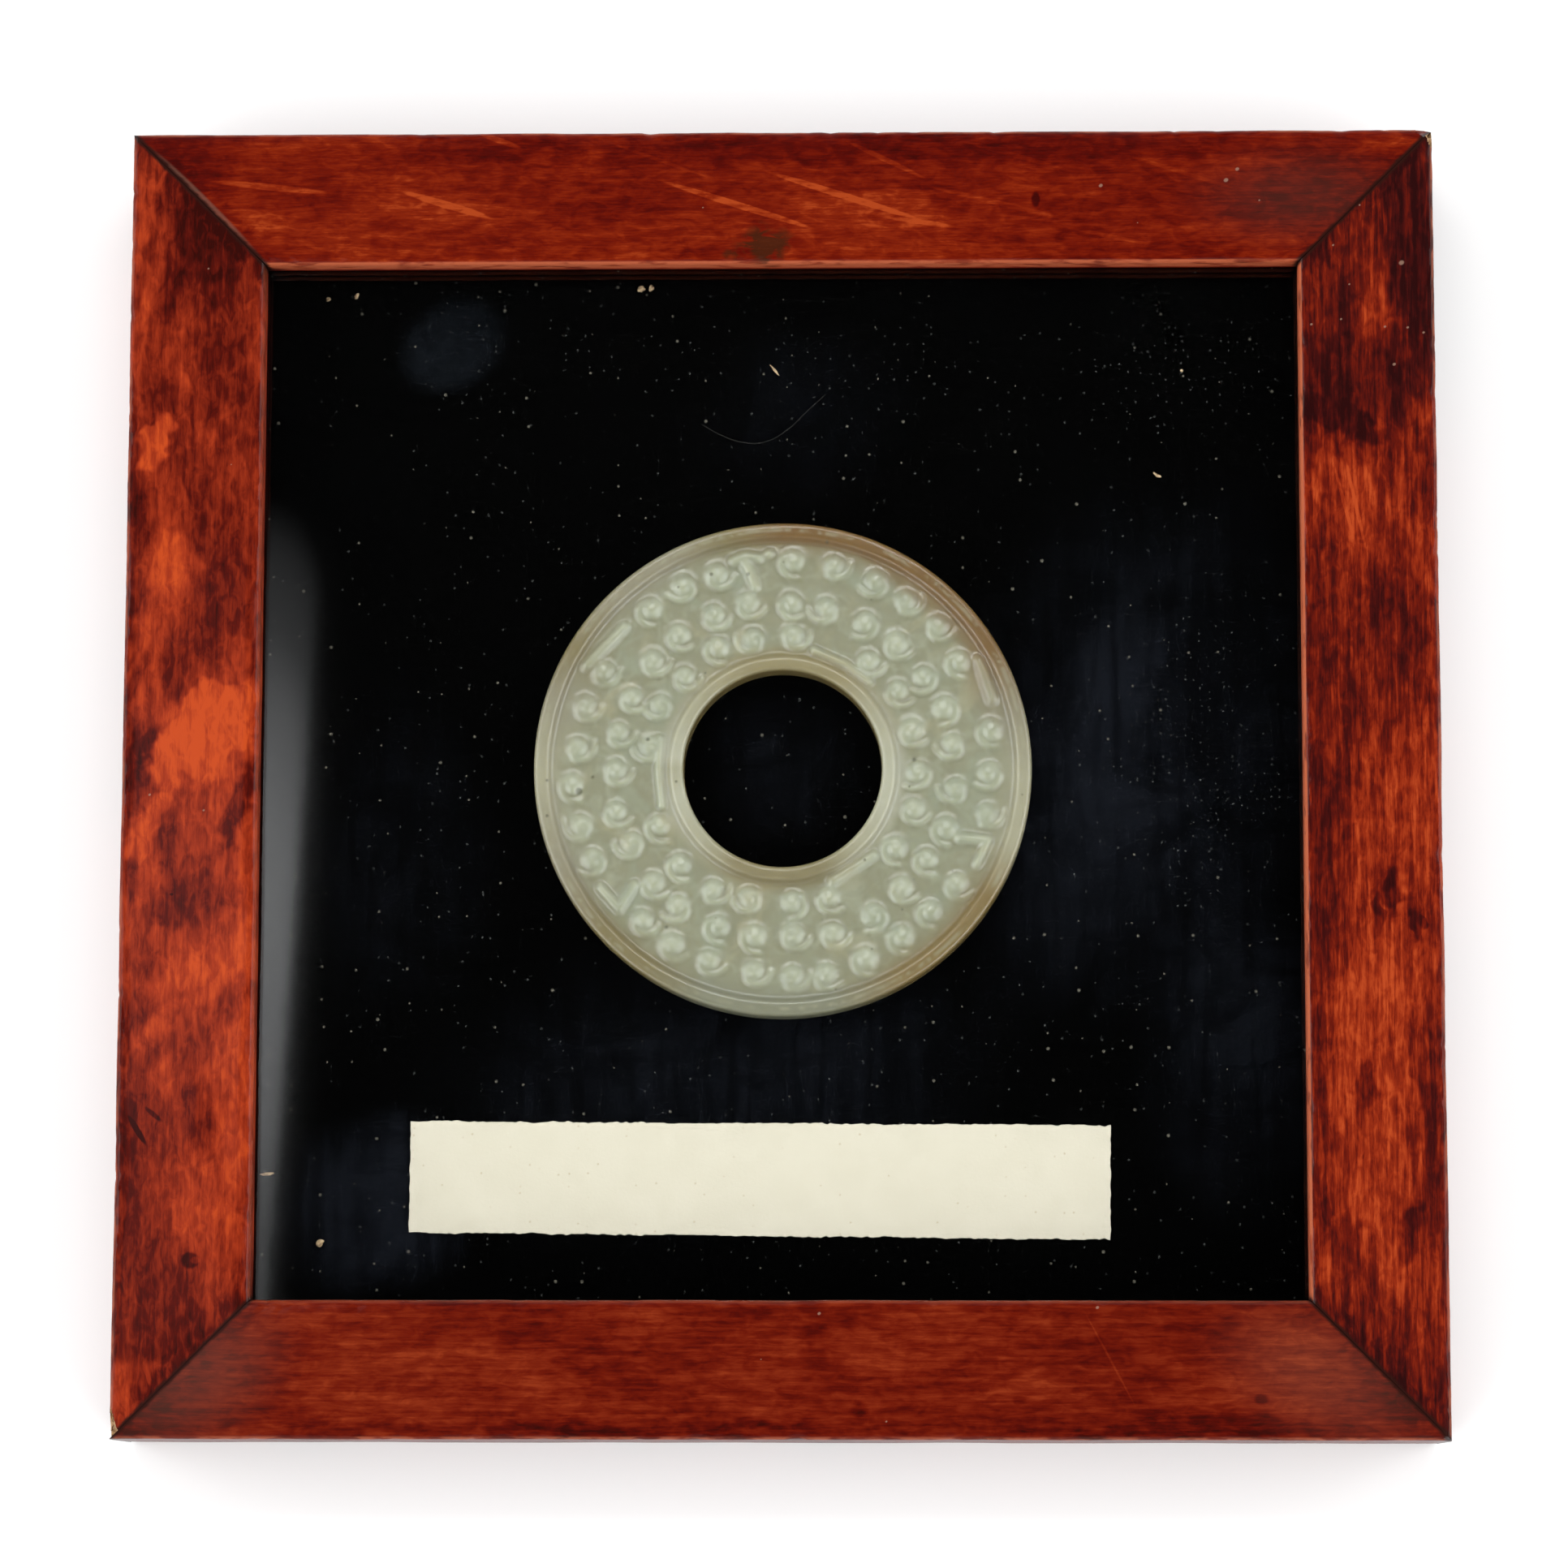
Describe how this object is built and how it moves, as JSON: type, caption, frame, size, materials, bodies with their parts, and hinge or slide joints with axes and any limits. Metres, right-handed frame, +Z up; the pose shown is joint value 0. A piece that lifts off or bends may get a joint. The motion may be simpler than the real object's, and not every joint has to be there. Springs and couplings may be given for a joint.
{
  "type": "framed jade bi disc",
  "caption": "Carved jade ring with raised comma grains, mounted on a black ground behind glass in a small mitred wooden frame.",
  "frame": {"origin": "middle of the frame's underside, lying on its back", "axes": "+Z up out of the face, +Y to the top of the frame as it is looked at, +X to its right"},
  "size_m": [0.15, 0.15, 0.018],
  "materials": {
    "jade": "soft wax polish on pale celadon nephrite, russet at the rim",
    "stained_wood": "red mahogany stain and polish, worn at the arrises",
    "glass": "clear, with dust and wipe marks",
    "black_ground": "matt black",
    "card": "uncoated cream card, bare"
  },
  "bodies": {
    "root": {"jade_disc": "jade", "rail_top": "stained_wood", "rail_bottom": "stained_wood", "rail_left": "stained_wood", "rail_right": "stained_wood", "glass_pane": "glass", "ground_panel": "black_ground", "caption_card": "card"}
  },
  "joints": []
}
